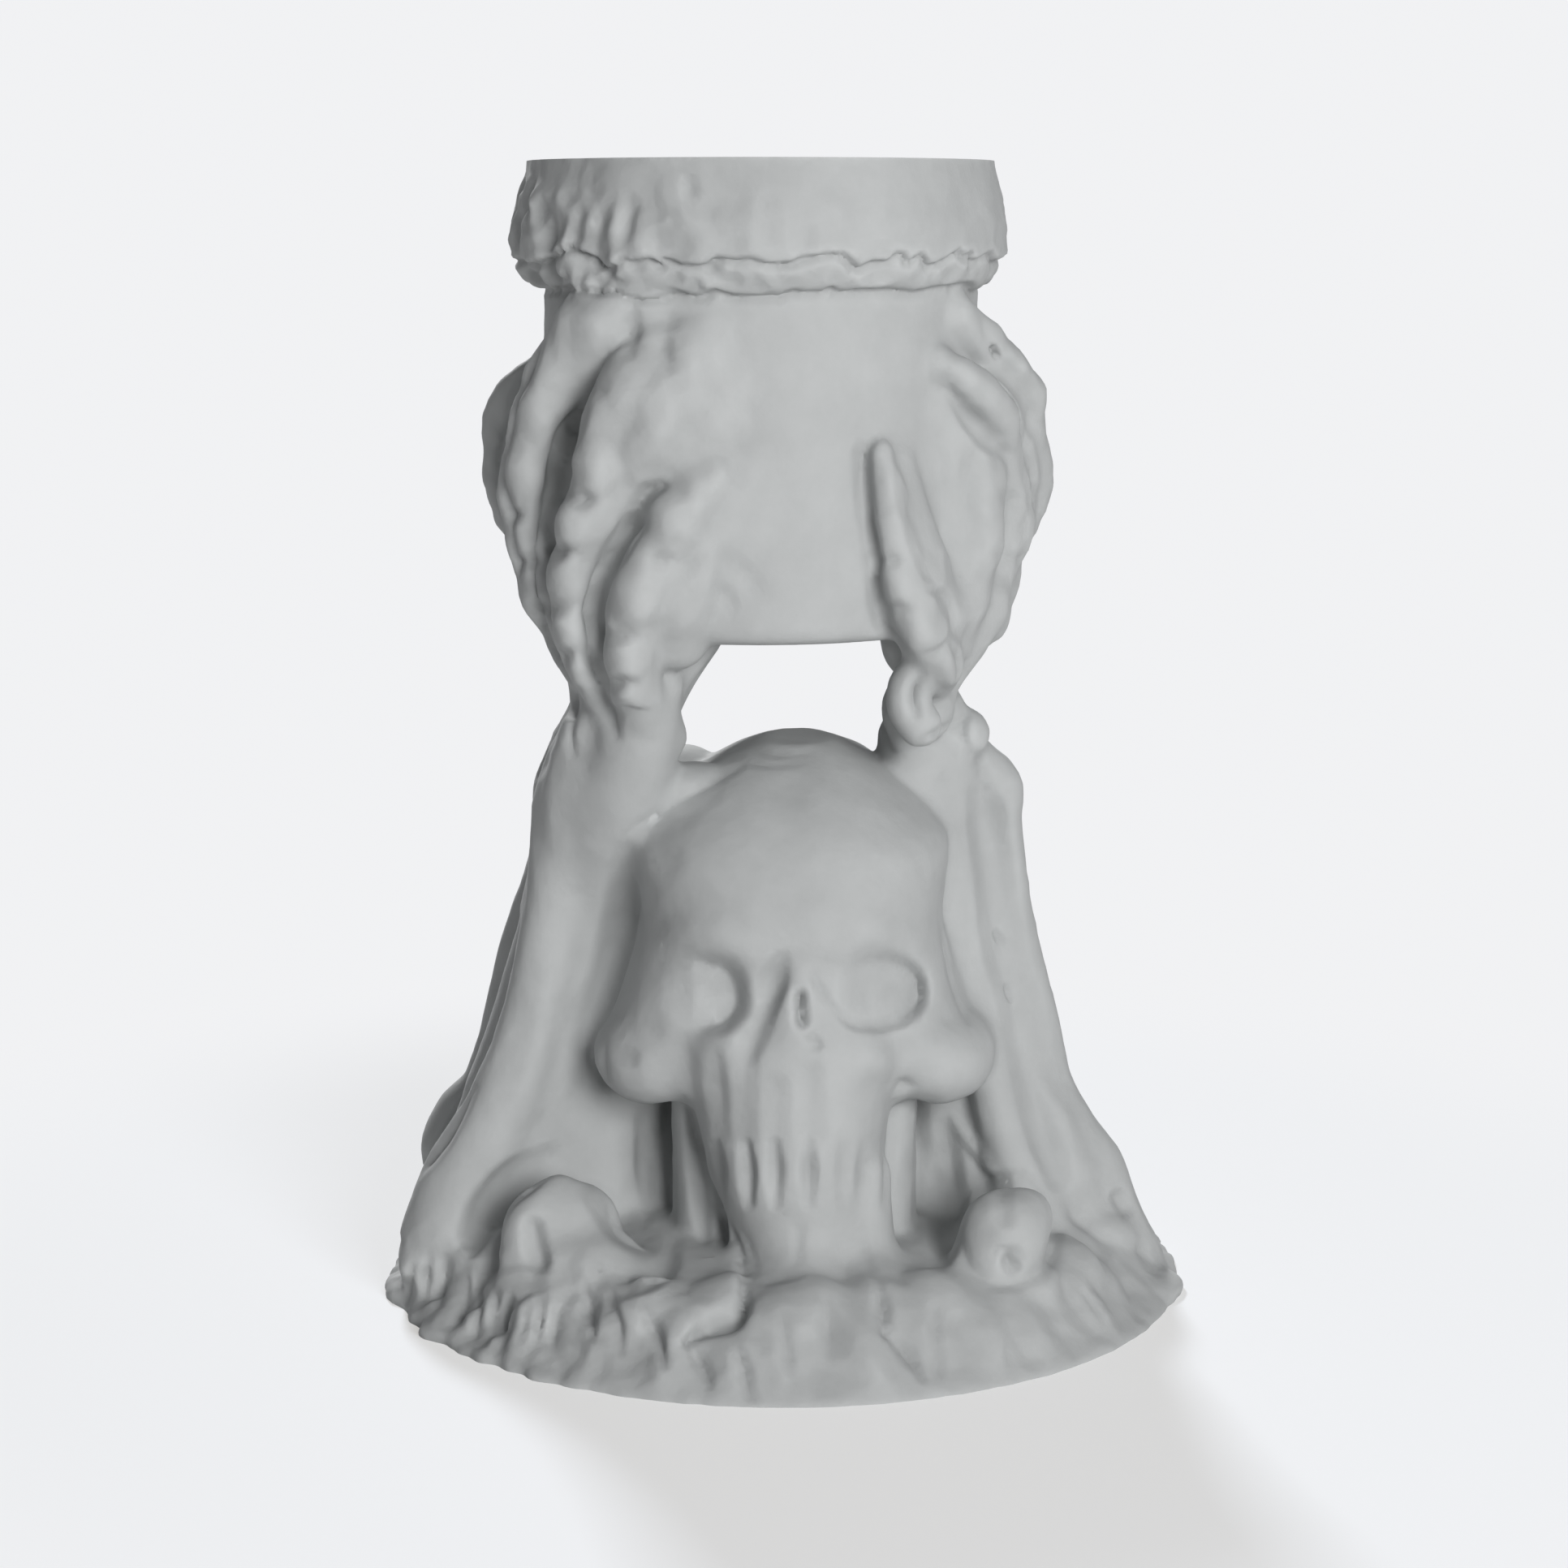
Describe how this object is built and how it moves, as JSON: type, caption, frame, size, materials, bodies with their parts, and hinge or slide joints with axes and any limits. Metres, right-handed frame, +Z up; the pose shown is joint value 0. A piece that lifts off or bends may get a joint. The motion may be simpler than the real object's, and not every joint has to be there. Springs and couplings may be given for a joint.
{
  "type": "candle holder",
  "caption": "Votive candle holder: skeletal forearms rise from a rocky mound on either side of a skull, and their hands hold up a round cup with a crusted rim.",
  "frame": {"origin": "on the flat underside, at the middle of the mound, at floor level", "axes": "+Z up, towards the cup's mouth; -Y towards the front, where the skull looks; +X to the viewer's right as the skull is faced"},
  "size_m": [0.1081, 0.1109, 0.15],
  "materials": {
    "casting": "matt mid-grey cast resin, slightly mottled, unpainted"
  },
  "bodies": {
    "root": {"candle_holder": "casting"}
  },
  "joints": []
}
